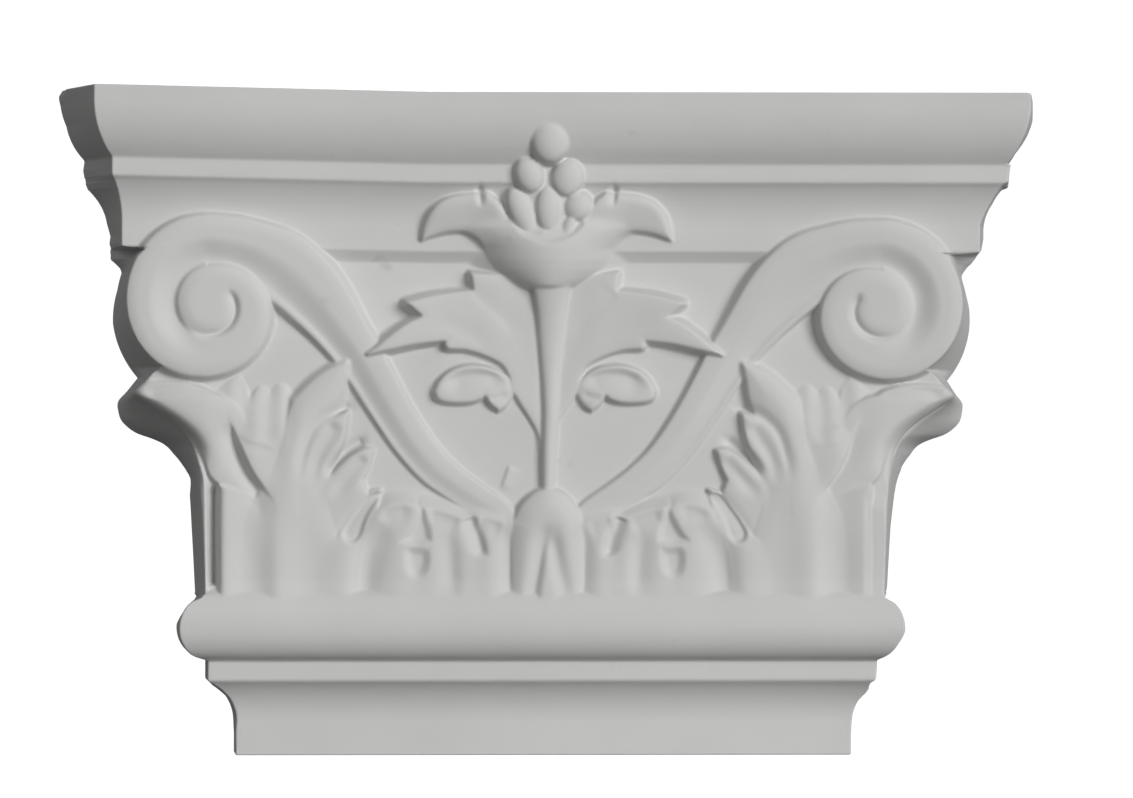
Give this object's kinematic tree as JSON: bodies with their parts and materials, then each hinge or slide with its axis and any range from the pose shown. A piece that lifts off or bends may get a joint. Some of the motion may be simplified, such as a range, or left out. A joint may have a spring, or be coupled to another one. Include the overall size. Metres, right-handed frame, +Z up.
{
  "type": "plaster pilaster capital",
  "caption": "Flat-backed cast plaster capital for a pilaster, with moulded abacus, corner scrolls, a flower on a stalk and acanthus leaves over a torus and neck.",
  "frame": {"origin": "middle of the flat underside, where the capital sits on the pilaster's shaft", "axes": "+Z up, +X to the right along the wall as seen from the front, +Y into the wall, so the front faces -Y and the flat back is the plane y = 0.01825"},
  "size_m": [0.3804, 0.0715, 0.2574],
  "materials": {
    "plaster": "matte cast plaster, pale neutral grey-white, unpainted"
  },
  "bodies": {
    "root": {"capital": "plaster"}
  },
  "joints": []
}
